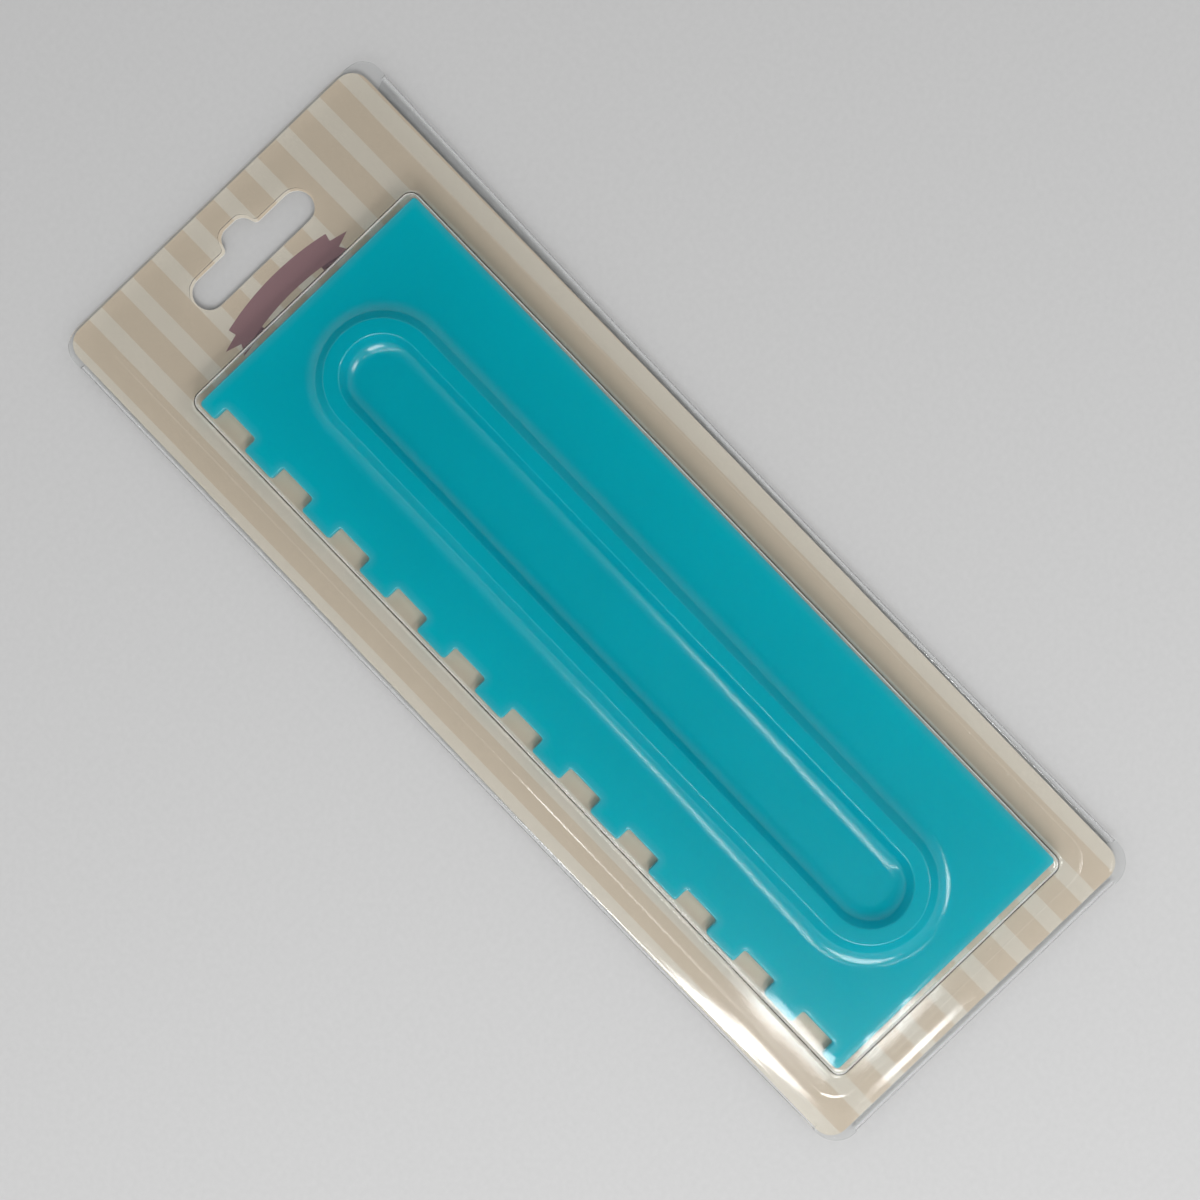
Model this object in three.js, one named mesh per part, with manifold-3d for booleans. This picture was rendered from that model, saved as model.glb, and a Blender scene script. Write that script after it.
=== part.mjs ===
// A carded cake scraper: one moulded plate with a square-notched comb edge, a bevelled smoothing
// edge and an embossed grip bead, lying in the pocket of a clear thermoformed blister. A printed
// backing card closes the pocket and slides in the three folded rails of the blister.
// Millimetres. X runs from the comb edge to the smoothing edge, +Y points to the hang slot and
// Z = 0 is the surface that the pack lies on.
import * as THREE from "three";
import { mergeVertices } from "three/addons/utils/BufferGeometryUtils.js";
import Module from "manifold-3d";

const wasm = await Module();
wasm.setup();

// Scraper plate
const SCRAPER_LENGTH = 180;
const SCRAPER_WIDTH = 59;
const PLATE_THICKNESS = 2.2;
const PLATE_CORNER = 0.9;
const EDGE_ROUND = 0.35;

// Comb edge
const NOTCH_WIDTH = 8.5;
const TOOTH_WIDTH = 7.8;
const NOTCH_DEPTH = 3.2;
const NOTCH_CORNER = 0.6;

// Smoothing edge: the width of the bevel under it and the thickness left at its tip
const SMOOTHING_BEVEL = 2.4;
const SMOOTHING_TIP = 0.9;

// Grip bead, a raised ring: a gentle skirt curves up from the plate to a steep wall and a flat
// crest, and a groove under the crest leaves a shell. The margin and the width are to its rims.
const BEAD_END_MARGIN = 10.3;
const BEAD_WIDTH = 23.2;
const BEAD_CREST = 3.1;
const BEAD_WALL_RUN = 1.4;
const BEAD_SKIRT_RUN = 3.5;
const BEAD_SKIRT_RISE = 0.78;
const BEAD_HEIGHT = 3.2;
const BEAD_SHELL = 1.5;
const BEAD_RIM_ROUND = 0.6;

// Backing card
const CARD_THICKNESS = 0.5;
const CARD_CORNER = 4;

// Hang slot in the card; the blister's slot is wider all round by SLOT_FILM_MARGIN
const SLOT_WIDTH = 31;
const SLOT_HEIGHT = 7;
const SLOT_TOP_MARGIN = 9.3;
const SLOT_HUMP_RISE = 3.4;
const SLOT_HUMP_TOP = 6;
const SLOT_HUMP_BASE = 8.4;
const SLOT_HUMP_ROUND = 2.6;
const SLOT_HUMP_FLARE = 1;
const SLOT_FILM_MARGIN = 0.6;

// Blister film and its flange
const FILM_THICKNESS = 0.4;
const FILM_FOOT_CORNER = 5.5;
const FILM_HEAD_CORNER = 4.5;
const SIDE_BORDER = 9.8;
const FOOT_BORDER = 9.3;
const HEADER = 25.6;
const EDGE_STRIP = 2.2;
const BORDER_SLOPE = 4.1;
const HEADER_SLOPE = 3;
const BORDER_RISE = 0.7;

// Blister pocket
const POCKET_DRAFT = THREE.MathUtils.degToRad(8);
const POCKET_FOOT_ROUND = 0.6;
const POCKET_TOP_ROUND = 1.2;
const POCKET_CORNER = 2.4;

// Folded rails
const FLAP_WIDTH = 7;
const FLAP_END_CUT = 3;
const RAIL_END_MARGIN = 6.2;

// Clearances
const REST_GAP = 0.3;
const CARD_SIDE_CLEARANCE = 1;
const CARD_FOOT_CLEARANCE = 1.2;
const POCKET_SIDE_CLEARANCE = 0.62;
const POCKET_END_CLEARANCE = 1.1;
const POCKET_HEAD_CLEARANCE = 0.4;

// Facets
const CORNER_STEPS = 5;
const FILLET_STEPS = 3;
const SKIRT_STEPS = 3;
const EDGE_STEPS = 2;
const TURN_STEPS = 48;
const MERGE_DISTANCE = 1e-4;
const CUT_OVERRUN = 1;

// Levels above the table
const cardBottom = FILM_THICKNESS + REST_GAP;
const cardTop = cardBottom + CARD_THICKNESS;
const stripTop = cardTop + REST_GAP + FILM_THICKNESS;
const landTop = stripTop + BORDER_RISE;
const scraperBottom = cardTop + REST_GAP;
const plateTop = scraperBottom + PLATE_THICKNESS;
const pocketTop = plateTop + BEAD_HEIGHT + POCKET_HEAD_CLEARANCE + FILM_THICKNESS;

// The pocket wall, as insets from the line where the flange starts to turn up
const wallTurn = Math.PI / 2 - POCKET_DRAFT;
const footRun = POCKET_FOOT_ROUND * Math.sin(wallTurn);
const footRise = POCKET_FOOT_ROUND * (1 - Math.cos(wallTurn));
const topRun = POCKET_TOP_ROUND * Math.sin(wallTurn);
const topDrop = POCKET_TOP_ROUND * (1 - Math.cos(wallTurn));
const wallRun = (pocketTop - topDrop - landTop - footRise) * Math.tan(POCKET_DRAFT);
const panelInset = footRun + wallRun + topRun;
const runToPlateTop = (plateTop - landTop - footRise) * Math.tan(POCKET_DRAFT);
const insetAtPlateTop = footRun + runToPlateTop + FILM_THICKNESS / Math.cos(POCKET_DRAFT);

// Plan sizes, worked outwards from the scraper
const pocketHalfWidth = SCRAPER_WIDTH / 2 + POCKET_SIDE_CLEARANCE + insetAtPlateTop;
const pocketHalfLength = SCRAPER_LENGTH / 2 + POCKET_END_CLEARANCE + insetAtPlateTop;
const filmHalfWidth = pocketHalfWidth + SIDE_BORDER;
const filmHalfLength = (HEADER + 2 * pocketHalfLength + FOOT_BORDER) / 2;
const pocketCentre = filmHalfLength - HEADER - pocketHalfLength;
const slotCentre = filmHalfLength - SLOT_TOP_MARGIN - SLOT_HEIGHT / 2;

// The card lies against the comb side's rail and the scraper against the pocket's other side
const cardShift = REST_GAP - CARD_SIDE_CLEARANCE;
const scraperShift = POCKET_SIDE_CLEARANCE - REST_GAP;

// The fold that carries the film round the edge of the card
const foldOuter = stripTop / 2;
const foldInner = foldOuter - FILM_THICKNESS;

// Joins, cuts and outlines

// A closed geometry as a solid that can be joined and cut.
function solid(geometry) {
  const loose = geometry.index ? geometry.toNonIndexed() : geometry;
  const bare = new THREE.BufferGeometry();
  bare.setAttribute("position", loose.getAttribute("position"));
  const merged = mergeVertices(bare, MERGE_DISTANCE);
  const vertProperties = merged.attributes.position.array;
  const triVerts = new Uint32Array(merged.index.array);
  return new wasm.Manifold(new wasm.Mesh({ numProp: 3, vertProperties, triVerts }));
}

function meshOf(name, made, material) {
  const { vertProperties, triVerts } = made.getMesh();
  const geometry = new THREE.BufferGeometry();
  geometry.setAttribute("position", new THREE.BufferAttribute(vertProperties, 3));
  geometry.setIndex(new THREE.BufferAttribute(triVerts, 1));
  geometry.computeVertexNormals();
  const mesh = new THREE.Mesh(geometry, material);
  mesh.name = name;
  return mesh;
}

// A closed outline, given as [x, y, radius] corners, with each corner turned into an arc.
function rounded(corners, steps) {
  const points = [];
  corners.forEach(([x, y, radius], i) => {
    const corner = new THREE.Vector2(x, y);
    const [beforeX, beforeY] = corners.at(i - 1);
    const [afterX, afterY] = corners[(i + 1) % corners.length];
    const back = new THREE.Vector2(beforeX, beforeY).sub(corner).normalize();
    const on = new THREE.Vector2(afterX, afterY).sub(corner).normalize();
    const half = Math.acos(back.dot(on)) / 2;
    const turn = (Math.PI - 2 * half) * Math.sign(on.cross(back));
    const centre = back.clone().add(on).setLength(radius / Math.sin(half)).add(corner);
    const start = back.clone().multiplyScalar(radius / Math.tan(half)).add(corner);
    for (let k = 0; k <= steps; k++) {
      points.push(start.clone().rotateAround(centre, (turn * k) / steps));
    }
  });
  return points.filter((point, i) => point.distanceTo(points.at(i - 1)) > MERGE_DISTANCE);
}

function rectangle(left, right, low, high, lowRadius, highRadius = lowRadius) {
  const corners = [
    [left, low, lowRadius],
    [right, low, lowRadius],
    [right, high, highRadius],
    [left, high, highRadius],
  ];
  return rounded(corners, CORNER_STEPS);
}

function prism(outline, depth) {
  return new THREE.ExtrudeGeometry(new THREE.Shape(outline), { depth, bevelEnabled: false });
}

// An outline drawn in X and Z, run along Y and centred there.
function prismAlongY(outline, length) {
  return prism(outline, length).rotateX(Math.PI / 2).translate(0, length / 2, 0);
}

// A closed profile of radius and height swept round a stadium: turned about Z, then the two half
// turns are drawn apart along Y. The turn starts half a step off, so that the faces across the
// middle become the straight sides.
function stadiumRing(profile, straight) {
  const turned = new THREE.LatheGeometry(profile, TURN_STEPS, Math.PI / TURN_STEPS).rotateX(Math.PI / 2);
  const place = turned.getAttribute("position");
  for (let i = 0; i < place.count; i++) {
    const y = place.getY(i);
    place.setY(i, y + (Math.sign(y) * straight) / 2);
  }
  return solid(turned);
}

// A closed skin through a row of level rings with equal numbers of points. The first ring is
// closed by a cap facing up and the last by a cap facing down.
function loft(rings) {
  const count = rings[0].outline.length;
  const positions = rings.flatMap(({ outline, z }) => outline.flatMap((p) => [p.x, p.y, z]));
  const faces = [];
  const lastRing = (rings.length - 1) * count;
  for (let i = 1; i < count - 1; i++) {
    faces.push(0, i, i + 1, lastRing, lastRing + i + 1, lastRing + i);
  }
  for (let ring = 0; ring < rings.length - 1; ring++) {
    for (let i = 0; i < count; i++) {
      const a = ring * count + i;
      const b = ring * count + ((i + 1) % count);
      faces.push(a, a + count, b + count, a, b + count, b);
    }
  }
  const geometry = new THREE.BufferGeometry();
  geometry.setAttribute("position", new THREE.Float32BufferAttribute(positions, 3));
  geometry.setIndex(faces);
  return solid(geometry);
}

// Scraper

// The plate's outline: a row of square notches up the comb edge, spread evenly about the middle.
function plateOutline() {
  const pitch = NOTCH_WIDTH + TOOTH_WIDTH;
  const notches = Math.floor(SCRAPER_LENGTH / pitch);
  const comb = -SCRAPER_WIDTH / 2;
  const root = comb + NOTCH_DEPTH;
  const end = SCRAPER_LENGTH / 2;
  const corners = [
    [comb, -end, PLATE_CORNER],
    [-comb, -end, PLATE_CORNER],
    [-comb, end, PLATE_CORNER],
    [comb, end, PLATE_CORNER],
  ];
  for (let i = 0; i < notches; i++) {
    const top = ((notches - 1) / 2 - i) * pitch + NOTCH_WIDTH / 2;
    const low = top - NOTCH_WIDTH;
    corners.push(
      [comb, top, NOTCH_CORNER],
      [root, top, NOTCH_CORNER],
      [root, low, NOTCH_CORNER],
      [comb, low, NOTCH_CORNER],
    );
  }
  return rounded(corners, FILLET_STEPS);
}

const beadMiddle = (BEAD_WIDTH - BEAD_CREST) / 2;
const beadCrest = PLATE_THICKNESS + BEAD_HEIGHT;
const beadWallSlope = Math.atan2(BEAD_HEIGHT - BEAD_SKIRT_RISE, BEAD_WALL_RUN);

// The cross-section of the grip bead from its crest down into the plate.
function beadSection() {
  const reach = BEAD_CREST / 2 + BEAD_WALL_RUN + BEAD_SKIRT_RUN;
  const skirtRadius = (BEAD_SKIRT_RUN ** 2 + BEAD_SKIRT_RISE ** 2) / (2 * BEAD_SKIRT_RISE);
  const skirtTurn = 2 * Math.atan2(BEAD_SKIRT_RISE, BEAD_SKIRT_RUN);
  const outer = [[beadMiddle + reach, PLATE_THICKNESS / 2, 0]];
  for (let k = 0; k <= SKIRT_STEPS; k++) {
    const angle = (skirtTurn * k) / SKIRT_STEPS;
    const rise = skirtRadius * (1 - Math.cos(angle));
    outer.push([beadMiddle + reach - skirtRadius * Math.sin(angle), PLATE_THICKNESS + rise, 0]);
  }
  outer.push([beadMiddle + BEAD_CREST / 2, beadCrest, BEAD_RIM_ROUND]);
  const inner = outer.map(([x, z, radius]) => [2 * beadMiddle - x, z, radius]).reverse();
  const section = rounded([...outer, ...inner], FILLET_STEPS);
  return [...section, section[0]];
}

// The cross-section of the groove under the bead, with its sides parallel to the bead's walls.
function grooveSection() {
  const top = beadCrest - BEAD_SHELL;
  const rim = BEAD_CREST / 2 - BEAD_SHELL * Math.tan(beadWallSlope / 2);
  const foot = rim + (top + CUT_OVERRUN) / Math.tan(beadWallSlope);
  const corners = [
    [beadMiddle - foot, -CUT_OVERRUN, 0],
    [beadMiddle + foot, -CUT_OVERRUN, 0],
    [beadMiddle + rim, top, BEAD_RIM_ROUND],
    [beadMiddle - rim, top, BEAD_RIM_ROUND],
  ];
  const section = rounded(corners, FILLET_STEPS);
  return [...section, section[0]];
}

function scraper() {
  const outline = new THREE.Shape(plateOutline());
  const plate = new THREE.ExtrudeGeometry(outline, {
    depth: PLATE_THICKNESS - 2 * EDGE_ROUND,
    bevelSize: EDGE_ROUND,
    bevelOffset: -EDGE_ROUND,
    bevelThickness: EDGE_ROUND,
    bevelSegments: EDGE_STEPS,
  }).translate(0, 0, EDGE_ROUND);
  const smoothing = SCRAPER_WIDTH / 2;
  const bevelOverrun = (CUT_OVERRUN * (PLATE_THICKNESS - SMOOTHING_TIP)) / SMOOTHING_BEVEL;
  const bevel = [
    new THREE.Vector2(smoothing - SMOOTHING_BEVEL - CUT_OVERRUN, -bevelOverrun),
    new THREE.Vector2(smoothing + CUT_OVERRUN, -bevelOverrun),
    new THREE.Vector2(smoothing + CUT_OVERRUN, PLATE_THICKNESS - SMOOTHING_TIP + bevelOverrun),
  ];
  const straight = SCRAPER_LENGTH - 2 * BEAD_END_MARGIN - BEAD_WIDTH;
  return solid(plate)
    .subtract(solid(prismAlongY(bevel, SCRAPER_LENGTH + 2 * CUT_OVERRUN)))
    .add(stadiumRing(beadSection(), straight))
    .subtract(stadiumRing(grooveSection(), straight));
}

// Backing card and hang slot

// The hang slot: a bar with round ends and a hump for the hook, with the middle of its bar at x.
function slotOutline(x, grow) {
  const halfWidth = SLOT_WIDTH / 2 + grow;
  const halfHeight = SLOT_HEIGHT / 2 + grow;
  const humpBase = SLOT_HUMP_BASE / 2 + grow;
  const humpTop = SLOT_HUMP_TOP / 2 + grow;
  const top = halfHeight + SLOT_HUMP_RISE;
  const corners = [
    [-halfWidth, -halfHeight, halfHeight],
    [halfWidth, -halfHeight, halfHeight],
    [halfWidth, halfHeight, halfHeight],
    [humpBase, halfHeight, SLOT_HUMP_FLARE],
    [humpTop, top, SLOT_HUMP_ROUND],
    [-humpTop, top, SLOT_HUMP_ROUND],
    [-humpBase, halfHeight, SLOT_HUMP_FLARE],
    [-halfWidth, halfHeight, halfHeight],
  ];
  return rounded(corners, CORNER_STEPS).map((p) => p.add(new THREE.Vector2(x, slotCentre)));
}

function backingCard() {
  const halfWidth = filmHalfWidth - FILM_THICKNESS - CARD_SIDE_CLEARANCE;
  const foot = -filmHalfLength + FILM_THICKNESS + CARD_FOOT_CLEARANCE;
  const sheet = prism(rectangle(-halfWidth, halfWidth, foot, filmHalfLength, CARD_CORNER), CARD_THICKNESS);
  const slot = prism(slotOutline(0, 0), CARD_THICKNESS + 2 * CUT_OVERRUN).translate(0, 0, -CUT_OVERRUN);
  return solid(sheet).subtract(solid(slot));
}

// Blister

// A level ring of the pocket, inset from the line where the flange turns up. A face that lies deeper
// in the film turns its corners more tightly.
function pocketRing(inset, z, depth) {
  const halfWidth = pocketHalfWidth - inset;
  const low = pocketCentre - pocketHalfLength + inset;
  const high = pocketCentre + pocketHalfLength - inset;
  return { outline: rectangle(-halfWidth, halfWidth, low, high, POCKET_CORNER - depth), z };
}

// A level ring of the flange, inset from the film's edge, by less at the open end of the header.
function flangeRing(inset, headerInset, z) {
  const halfWidth = filmHalfWidth - inset;
  const low = -filmHalfLength + inset;
  const high = filmHalfLength - headerInset;
  return { outline: rectangle(-halfWidth, halfWidth, low, high, FILM_FOOT_CORNER, FILM_HEAD_CORNER), z };
}

// One face of the film from the pocket's panel out to the edge, sunk below the front face by depth.
function filmFace(depth) {
  const rings = [];
  for (let k = 0; k <= FILLET_STEPS; k++) {
    const angle = (wallTurn * k) / FILLET_STEPS;
    const radius = POCKET_TOP_ROUND - depth;
    const rise = radius * Math.cos(angle) - POCKET_TOP_ROUND;
    rings.push(pocketRing(panelInset - radius * Math.sin(angle), pocketTop + rise, depth));
  }
  for (let k = FILLET_STEPS; k >= 0; k--) {
    const angle = (wallTurn * k) / FILLET_STEPS;
    const radius = POCKET_FOOT_ROUND + depth;
    const rise = POCKET_FOOT_ROUND - radius * Math.cos(angle);
    rings.push(pocketRing(radius * Math.sin(angle), landTop + rise, depth));
  }
  rings.push(flangeRing(EDGE_STRIP + BORDER_SLOPE, EDGE_STRIP + HEADER_SLOPE, landTop - depth));
  rings.push(flangeRing(EDGE_STRIP, EDGE_STRIP, stripTop - depth));
  rings.push(flangeRing(0, 0, stripTop - depth));
  return rings;
}

// The half round of a fold with a lip on the flange, and the flap that returns under the card. The
// fold's axis is Y, and the flap lies on the -X side of it.
function foldAndFlap(length) {
  const bend = new THREE.Shape();
  bend.moveTo(-EDGE_STRIP / 2, stripTop - FILM_THICKNESS);
  bend.lineTo(0, stripTop - FILM_THICKNESS);
  bend.absarc(0, foldOuter, foldInner, Math.PI / 2, -Math.PI / 2, true);
  bend.lineTo(-EDGE_STRIP / 2, FILM_THICKNESS);
  bend.lineTo(-EDGE_STRIP / 2, 0);
  bend.lineTo(0, 0);
  bend.absarc(0, foldOuter, foldOuter, -Math.PI / 2, Math.PI / 2, false);
  bend.lineTo(-EDGE_STRIP / 2, stripTop);
  const fold = prismAlongY(bend.getPoints(CORNER_STEPS), length);
  const flap = prism(
    [
      new THREE.Vector2(0, -length / 2),
      new THREE.Vector2(0, length / 2),
      new THREE.Vector2(-FLAP_WIDTH, length / 2 - FLAP_END_CUT),
      new THREE.Vector2(-FLAP_WIDTH, -length / 2 + FLAP_END_CUT),
    ],
    FILM_THICKNESS,
  );
  return [fold, flap];
}

// The formed and punched film, whose edge strip gives way to a fold and a flap along three edges.
function blister() {
  const sideLength = 2 * (filmHalfLength - RAIL_END_MARGIN);
  const footLength = 2 * (filmHalfWidth - RAIL_END_MARGIN);
  const sideReach = filmHalfWidth - foldOuter;
  const footReach = filmHalfLength - foldOuter;
  const rails = [
    { turn: 0, reach: sideReach, length: sideLength },
    { turn: Math.PI, reach: sideReach, length: sideLength },
    { turn: -Math.PI / 2, reach: footReach, length: footLength },
  ];
  const slot = prism(slotOutline(cardShift, SLOT_FILM_MARGIN), landTop + CUT_OVERRUN);
  let film = loft([...filmFace(0), ...filmFace(FILM_THICKNESS).reverse()]).subtract(solid(slot));
  for (const { turn, reach, length } of rails) {
    const strip = new THREE.BoxGeometry(2 * foldOuter, length, 2 * landTop).translate(foldOuter, 0, 0);
    film = film.subtract(solid(strip.translate(reach, 0, 0).rotateZ(turn)));
    for (const piece of foldAndFlap(length)) {
      film = film.add(solid(piece.translate(reach, 0, 0).rotateZ(turn)));
    }
  }
  return film;
}

// Materials and assembly
const turquoisePlastic = new THREE.MeshStandardMaterial({ color: 0x0aa3b4, roughness: 0.32, metalness: 0 });
const clearFilm = new THREE.MeshStandardMaterial({
  color: 0xf4f7f7,
  roughness: 0.06,
  metalness: 0,
  transparent: true,
  opacity: 0.2,
});
const printedBoard = new THREE.MeshStandardMaterial({ color: 0xd9cab8, roughness: 0.7, metalness: 0 });

const scraperMesh = meshOf("scraper", scraper(), turquoisePlastic);
scraperMesh.position.set(scraperShift, pocketCentre, scraperBottom);
const cardMesh = meshOf("backing_card", backingCard(), printedBoard);
cardMesh.position.set(cardShift, 0, cardBottom);
const blisterMesh = meshOf("blister", blister(), clearFilm);

const pack = new THREE.Group();
pack.name = "carded_scraper";
pack.add(blisterMesh, cardMesh, scraperMesh);

export default pack;
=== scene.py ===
"""Looks of a carded cake scraper: a moulded scraper in a clear slide blister with a striped card.

Sizes are in millimetres and become metres when a mesh is made. X runs from the comb edge to the
smoothing edge, +Y points to the hang slot and Z = 0 is the table.
"""
import math

import bmesh
import bpy
import numpy as np
from mathutils import Matrix, Vector, noise
from mathutils.geometry import area_tri, delaunay_2d_cdt


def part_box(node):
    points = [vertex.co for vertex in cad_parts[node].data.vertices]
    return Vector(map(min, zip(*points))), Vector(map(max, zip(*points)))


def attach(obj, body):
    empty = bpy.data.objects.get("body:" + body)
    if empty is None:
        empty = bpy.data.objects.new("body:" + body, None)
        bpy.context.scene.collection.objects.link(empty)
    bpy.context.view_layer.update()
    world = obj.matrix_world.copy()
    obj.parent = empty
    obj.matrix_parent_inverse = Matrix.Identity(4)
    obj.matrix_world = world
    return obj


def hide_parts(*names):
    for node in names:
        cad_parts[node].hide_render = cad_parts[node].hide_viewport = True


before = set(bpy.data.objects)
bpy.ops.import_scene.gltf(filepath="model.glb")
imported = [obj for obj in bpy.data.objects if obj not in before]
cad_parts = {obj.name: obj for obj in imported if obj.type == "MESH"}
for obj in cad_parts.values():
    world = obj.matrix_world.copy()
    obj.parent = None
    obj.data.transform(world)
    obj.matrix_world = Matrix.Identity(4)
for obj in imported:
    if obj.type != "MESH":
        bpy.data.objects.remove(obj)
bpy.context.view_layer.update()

MM = 0.001

# Scraper
PLATE_THICKNESS = 2.2
PLATE_CORNER = 0.9
EDGE_ROUND = 0.35
LEAST_ROUND = 0.05
NOTCH_WIDTH = 8.5
TOOTH_WIDTH = 7.8
NOTCH_DEPTH = 3.2
NOTCH_CORNER = 0.6
SMOOTHING_BEVEL = 2.4
SMOOTHING_TIP = 0.9
BEAD_END_MARGIN = 10.3
BEAD_WIDTH = 23.2
BEAD_CREST = 3.1
BEAD_OUTER_WALL_RUN = 1.9
BEAD_INNER_WALL_RUN = 1.3
BEAD_SKIRT_RUN = 3.7
BEAD_SKIRT_RISE = 0.9
BEAD_SKIRT_ROUND = 5
BEAD_WALL_ROUND = 2.1
BEAD_RIM_ROUND = 0.45
BEAD_SHELL = 1.5
GROOVE_LIP_ROUND = 0.3
GROOVE_LIP = 0.6
# Painted light: how far in from its outline the plastic is painted lighter, and how much, from its edge
# inwards; a painted glow for light coming through the thin plastic there
EDGE_GLOW_PAINT = ((0, 0.45), (EDGE_ROUND, 0.36), (1.0, 0.16), (1.9, 0.0))
# Painted light: how much lighter the plastic is painted over the thin tip of the smoothing edge, a painted
# glow for light coming through it
TIP_GLOW_PAINT = 0.8

# Card and hang slot
CARD_CORNER = 4
SLOT_WIDTH = 31
SLOT_HEIGHT = 7
SLOT_TOP_MARGIN = 9.3
SLOT_HUMP_RISE = 3.4
SLOT_HUMP_TOP = 6
SLOT_HUMP_BASE = 8.4
SLOT_HUMP_ROUND = 2.6
SLOT_HUMP_FLARE = 1
SLOT_FILM_MARGIN = 0.3
STRIPE_PITCH = 8.55
TAN_STRIPE = 5.05
STRIPE_MIDDLE = -1.3
STRIPE_SKEW = 0.0058
# Half the width of the blur at a stripe's printed edge
STRIPE_BLUR = 0.06

# Printed ribbon, from the middle of the card and down from its top edge
RIBBON_MIDDLE = -1.0
RIBBON_DROP = 19.1
RIBBON_TURN = math.radians(1)
RIBBON_RADIUS = 60
RIBBON_HEIGHT = 5.05
RIBBON_HALF_ANGLE = math.radians(13)
RIBBON_TAIL = ((12.6, -3), (16.9, -4.15), (13.6, -5.25), (14.9, -7.4), (8.2, -6.5), (8.3, -5.5))
RIBBON_FOLD = ((8.3, -5.4), (8.2, -6.5), (12.6, -6.9), (12.4, -6.2))

# Blister film
FILM_THICKNESS = 0.4
FILM_FOOT_CORNER = 5.5
FILM_HEAD_CORNER = 4.5
SIDE_BORDER = 9.8
FOOT_BORDER = 9.3
HEADER = 25.6
EDGE_STRIP = 2.2
BORDER_SLOPE = 4.1
HEADER_SLOPE = 3
BORDER_RISE = 0.7
# How far the folds stand above a tight wrap of the card
FOLD_LIFT = 0.4
CREASE_STEP = 0.12
CREASE_RUN = 0.3
CREASE_ROUND = 0.25
FOLD_CLEARANCE = 0.25
POCKET_DRAFT = math.radians(8)
POCKET_FOOT_ROUND = 0.6
POCKET_TOP_ROUND = 1.2
POCKET_CORNER = 2.4
FLAP_WIDTH = 7
FLAP_END_CUT = 3
RAIL_END_MARGIN = 6.2
# Side folds bent by hand: each lies out by its first value at the second, a place along Y, and swings
# out by the third over the bow's length from there
RIGHT_BOW = (-0.7, -35, 0.86)
LEFT_BOW = (0.45, 55, -0.3)
BOW_LENGTH = 100
# The film lies level at its open end, with a run into the rolled side borders
OPEN_END = 12
OPEN_RUN = 7
# Unevenness left by forming the film's flat areas
FILM_WAVE = 0.05
FILM_WAVE_LENGTH = 28

# Facets
CORNER_STEPS = 6
EDGE_STEPS = 4
BEAD_STEPS = 6
TURN_STEPS = 40
FOLD_STEPS = 8
FILLET_STEPS = 6
ROLL_STEPS = 10
SIDE_SPANS = 40
END_SPANS = 16
FLAP_SPANS = 3
GRID = 5
# How far loose points stay away from the lines that a filled area ends at
GRID_MARGIN = GRID / 3
# Edges that turn by more than this are shaded as sharp
SHARP_TURN = math.radians(50)
PLACES = 4
SAME_PLACE = 1e-4
SLIVER = 1e-3

# Camera, from the photograph's 1200 pixel square
CAMERA_PLACE = Vector((3.8, -11.5, 414.4))
CAMERA_TARGET = Vector((0.8, -0.4, 0))
CAMERA_TURN = math.radians(43.86)
CAMERA_FOCUS_PIXELS = 2106
PHOTO_PIXELS = 1200
SENSOR = 36

# Places and levels from the frame


def box_of(node):
    """A node's lowest and highest corner in millimetres."""
    low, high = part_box(node)
    return low / MM, high / MM


scraper_low, scraper_high = box_of("scraper")
card_low, card_high = box_of("backing_card")
film_low, film_high = box_of("blister")

scraper_place = Vector(
    (
        (scraper_low.x + scraper_high.x) / 2,
        (scraper_low.y + scraper_high.y) / 2,
        scraper_low.z,
    )
)
half_width = (scraper_high.x - scraper_low.x) / 2
half_length = (scraper_high.y - scraper_low.y) / 2
bevel_start = half_width - SMOOTHING_BEVEL
bead_height = scraper_high.z - scraper_low.z - PLATE_THICKNESS
bead_middle = (BEAD_WIDTH - BEAD_CREST) / 2
bead_straight = 2 * half_length - 2 * BEAD_END_MARGIN - BEAD_WIDTH

card_middle = (card_low.x + card_high.x) / 2
slot_middle = card_high.y - SLOT_TOP_MARGIN - SLOT_HEIGHT / 2

film_half_width = film_high.x
film_half_length = film_high.y
pocket_top = film_high.z
fold_radius = (card_high.z + card_low.z + FOLD_LIFT) / 2
strip_top = 2 * fold_radius
land_top = strip_top - FOLD_LIFT + BORDER_RISE


# Outlines


def turned(vector, angle):
    return Matrix.Rotation(angle, 2) @ vector


def rounded(corners, steps, spans=None, closed=True):
    """Points along corners, given as (x, y, radius), with each corner turned into an arc. spans
    splits the stretch after each corner into that many parts."""
    count = len(corners)
    arcs = []
    for i, (x, y, radius) in enumerate(corners):
        corner = Vector((x, y))
        if radius == 0 or (not closed and i in (0, count - 1)):
            arcs.append([corner])
            continue
        back = (Vector(corners[i - 1][:2]) - corner).normalized()
        on = (Vector(corners[(i + 1) % count][:2]) - corner).normalized()
        half = back.angle(on) / 2
        centre = corner + (back + on).normalized() * radius / math.sin(half)
        start = corner + back * radius / math.tan(half) - centre
        turn = math.copysign(math.pi - 2 * half, on.cross(back))
        arcs.append([centre + turned(start, turn * k / steps) for k in range(steps + 1)])
    points = []
    for i, arc in enumerate(arcs):
        points += arc
        if spans:
            after = arcs[(i + 1) % count][0]
            points += [arc[-1].lerp(after, k / spans[i]) for k in range(1, spans[i])]
    points = [Vector((round(x, PLACES), round(y, PLACES))) for x, y in points]
    return [point for i, point in enumerate(points) if point != points[i - 1]]


def rectangle(left, right, low, high, low_radius, high_radius=None):
    high_radius = low_radius if high_radius is None else high_radius
    corners = [
        (left, low, low_radius),
        (right, low, low_radius),
        (right, high, high_radius),
        (left, high, high_radius),
    ]
    return rounded(corners, CORNER_STEPS, (END_SPANS, SIDE_SPANS, END_SPANS, SIDE_SPANS))


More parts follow.
